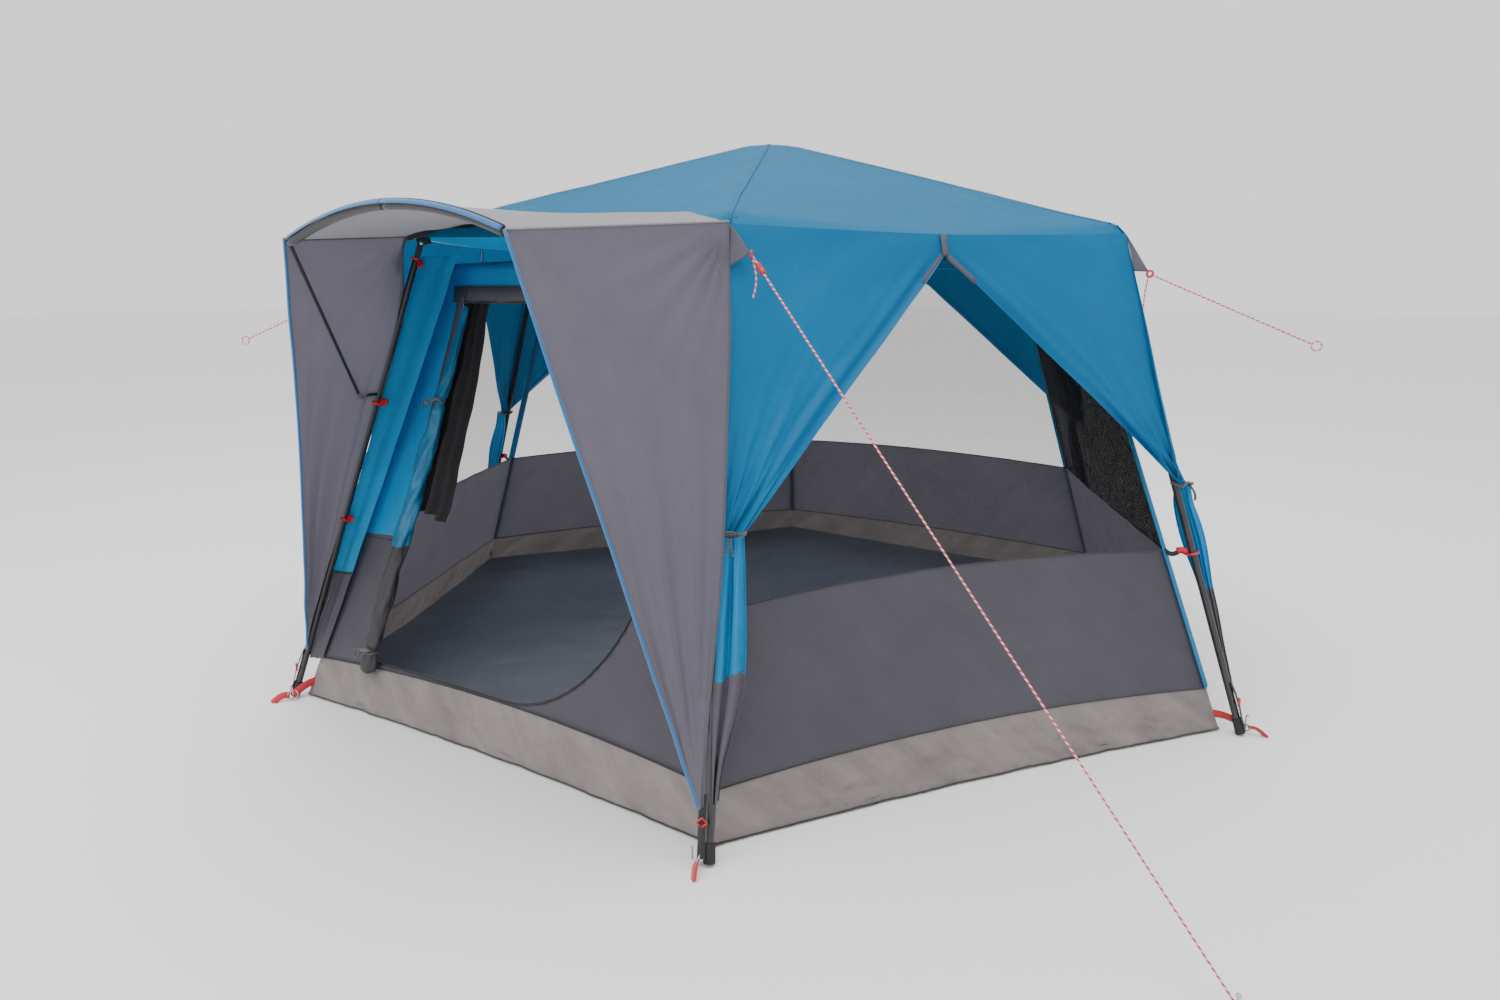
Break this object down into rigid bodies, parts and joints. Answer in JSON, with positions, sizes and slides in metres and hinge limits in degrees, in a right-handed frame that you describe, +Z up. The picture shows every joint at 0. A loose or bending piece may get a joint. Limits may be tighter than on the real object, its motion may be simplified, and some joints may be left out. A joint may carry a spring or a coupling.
{
  "type": "cabin tent",
  "caption": "Quick-up cabin tent: hexagonal blue fly on folding legs about a central hub, separate inner tent with mesh walls and a D-shaped door, arched grey awning on struts, guy lines.",
  "frame": {"origin": "centre of the groundsheet's underside, straight below the hub", "axes": "+Z up, -Y out through the door side, +X to the right seen from the door side"},
  "size_m": [4.0723, 3.4572, 2.005],
  "materials": {
    "hub_plastic": "moulded, satin",
    "ring_steel": "drawn wire",
    "pole": "satin black enamel on tube",
    "joint_plastic": "moulded, fine grain",
    "foot_rubber": "moulded, dull",
    "fly": "plain-woven coated polyester, slight sheen",
    "awning": "plain-woven coated polyester",
    "wall": "grey lower wall, blue or fine mesh above",
    "ceiling": "fine net",
    "floor": "coated woven floor cloth with an upturned edge",
    "rod": "pultruded fibreglass rod",
    "rope": "braided cord, red with white fleck",
    "runner": "moulded",
    "peg": "plated wire"
  },
  "bodies": {
    "inner_tent": {"groundsheet": "floor", "inner_roof": "ceiling", "wall_L_F": "wall", "wall_F_R": "wall", "wall_R_R2": "wall", "wall_R2_B": "wall", "wall_B_L2": "wall", "wall_L2_L": "wall", "awning_canopy": "awning", "guy_peg_F": "peg"},
    "hub": {"hub": "hub_plastic", "hub_cap": "hub_plastic", "hub_ring": "ring_steel"},
    "roof_L": {"roof_pole_L": "pole", "elbow_L": "joint_plastic", "fly_roof_L": "fly"},
    "leg_L": {"leg_L": "pole", "foot_L": "foot_rubber", "fly_curtain_L": "fly", "awning_side_L": "awning", "guy_rope_L": "rope"},
    "roof_F": {"roof_pole_F": "pole", "elbow_F": "joint_plastic", "fly_roof_F": "fly"},
    "leg_F": {"leg_F": "pole", "foot_F": "foot_rubber", "fly_curtain_F": "fly", "awning_side_F": "awning", "guy_rope_F": "rope"},
    "roof_R": {"roof_pole_R": "pole", "elbow_R": "joint_plastic", "fly_roof_R": "fly"},
    "leg_R": {"leg_R": "pole", "foot_R": "foot_rubber", "fly_curtain_R": "fly", "guy_rope_R": "rope"},
    "roof_R2": {"roof_pole_R2": "pole", "elbow_R2": "joint_plastic", "fly_roof_R2": "fly"},
    "leg_R2": {"leg_R2": "pole", "foot_R2": "foot_rubber", "fly_curtain_R2": "fly"},
    "roof_B": {"roof_pole_B": "pole", "elbow_B": "joint_plastic", "fly_roof_B": "fly"},
    "leg_B": {"leg_B": "pole", "foot_B": "foot_rubber", "fly_curtain_B": "fly"},
    "roof_L2": {"roof_pole_L2": "pole", "elbow_L2": "joint_plastic", "fly_roof_L2": "fly"},
    "leg_L2": {"leg_L2": "pole", "foot_L2": "foot_rubber", "fly_curtain_L2": "fly"},
    "strut_L": {"awning_strut_L": "rod", "awning_arch_L": "rod"},
    "strut_F": {"awning_strut_F": "rod", "awning_arch_F": "rod"},
    "guy_runner": {"guy_runner_F": "runner"}
  },
  "joints": [
    {"name": "hub_drop", "type": "slide", "parent": "inner_tent", "child": "hub", "axis": [0, 0, 1], "range_m": [-1.55, 0], "deforming": ["wall_L_F", "wall_F_R", "wall_R_R2", "wall_R2_B", "wall_B_L2", "wall_L2_L", "inner_roof", "awning_canopy", "guy_rope_L", "awning_side_L", "awning_arch_L", "fly_roof_L", "fly_curtain_L", "guy_rope_F", "awning_side_F", "awning_arch_F", "fly_roof_F", "fly_curtain_F", "guy_rope_R", "fly_roof_R", "fly_curtain_R", "fly_roof_R2", "fly_curtain_R2", "fly_roof_B", "fly_curtain_B", "fly_roof_L2", "fly_curtain_L2"]},
    {"name": "roof_fold_L", "type": "hinge", "parent": "hub", "child": "roof_L", "pos_m": [-0.0375, -0.06495, 1.935], "axis": [-0.866, 0.5, 0], "range_deg": [0, 103.55]},
    {"name": "leg_fold_L", "type": "hinge", "parent": "roof_L", "child": "leg_L", "pos_m": [-0.6785, -1.1752, 1.6], "axis": [-0.866, 0.5, 0], "range_deg": [-122.16, 0]},
    {"name": "roof_fold_F", "type": "hinge", "parent": "hub", "child": "roof_F", "pos_m": [0.0375, -0.06495, 1.935], "axis": [-0.866, -0.5, 0], "range_deg": [0, 103.55]},
    {"name": "leg_fold_F", "type": "hinge", "parent": "roof_F", "child": "leg_F", "pos_m": [0.6785, -1.1752, 1.6], "axis": [-0.866, -0.5, 0], "range_deg": [-122.16, 0]},
    {"name": "roof_fold_R", "type": "hinge", "parent": "hub", "child": "roof_R", "pos_m": [0.075, 0, 1.935], "axis": [0, -1, 0], "range_deg": [0, 103.55]},
    {"name": "leg_fold_R", "type": "hinge", "parent": "roof_R", "child": "leg_R", "pos_m": [1.357, 0, 1.6], "axis": [0, -1, 0], "range_deg": [-122.16, 0]},
    {"name": "roof_fold_R2", "type": "hinge", "parent": "hub", "child": "roof_R2", "pos_m": [0.0375, 0.06495, 1.935], "axis": [0.866, -0.5, 0], "range_deg": [0, 103.55]},
    {"name": "leg_fold_R2", "type": "hinge", "parent": "roof_R2", "child": "leg_R2", "pos_m": [0.6785, 1.1752, 1.6], "axis": [0.866, -0.5, 0], "range_deg": [-122.16, 0]},
    {"name": "roof_fold_B", "type": "hinge", "parent": "hub", "child": "roof_B", "pos_m": [-0.0375, 0.06495, 1.935], "axis": [0.866, 0.5, 0], "range_deg": [0, 103.55]},
    {"name": "leg_fold_B", "type": "hinge", "parent": "roof_B", "child": "leg_B", "pos_m": [-0.6785, 1.1752, 1.6], "axis": [0.866, 0.5, 0], "range_deg": [-122.16, 0]},
    {"name": "roof_fold_L2", "type": "hinge", "parent": "hub", "child": "roof_L2", "pos_m": [-0.075, 0, 1.935], "axis": [0, 1, 0], "range_deg": [0, 103.55]},
    {"name": "leg_fold_L2", "type": "hinge", "parent": "roof_L2", "child": "leg_L2", "pos_m": [-1.357, 0, 1.6], "axis": [0, 1, 0], "range_deg": [-122.16, 0]},
    {"name": "strut_fold_L", "type": "hinge", "parent": "leg_L", "child": "strut_L", "pos_m": [-0.76609, -1.4049, 1.08], "axis": [0.8943, 0.3661, -0.2574], "range_deg": [0, 125.18]},
    {"name": "strut_fold_F", "type": "hinge", "parent": "leg_F", "child": "strut_F", "pos_m": [0.76609, -1.4049, 1.08], "axis": [0.8943, -0.3661, 0.2574], "range_deg": [0, 125.18]},
    {"name": "guy_runner_slide", "type": "slide", "parent": "leg_F", "child": "guy_runner", "axis": [0.666, -0.1032, -0.7388], "range_m": [0, 0.3]}
  ],
  "couplings": [
    {"joint": "roof_fold_L", "follows": "hub_drop", "rad_per_m": -1.1637},
    {"joint": "leg_fold_L", "follows": "hub_drop", "rad_per_m": 1.3733},
    {"joint": "roof_fold_F", "follows": "hub_drop", "rad_per_m": -1.1637},
    {"joint": "leg_fold_F", "follows": "hub_drop", "rad_per_m": 1.3733},
    {"joint": "roof_fold_R", "follows": "hub_drop", "rad_per_m": -1.1637},
    {"joint": "leg_fold_R", "follows": "hub_drop", "rad_per_m": 1.3733},
    {"joint": "roof_fold_R2", "follows": "hub_drop", "rad_per_m": -1.1637},
    {"joint": "leg_fold_R2", "follows": "hub_drop", "rad_per_m": 1.3733},
    {"joint": "roof_fold_B", "follows": "hub_drop", "rad_per_m": -1.1637},
    {"joint": "leg_fold_B", "follows": "hub_drop", "rad_per_m": 1.3733},
    {"joint": "roof_fold_L2", "follows": "hub_drop", "rad_per_m": -1.1637},
    {"joint": "leg_fold_L2", "follows": "hub_drop", "rad_per_m": 1.3733},
    {"joint": "strut_fold_L", "follows": "hub_drop", "rad_per_m": -1.4073},
    {"joint": "strut_fold_F", "follows": "hub_drop", "rad_per_m": -1.4073}
  ]
}
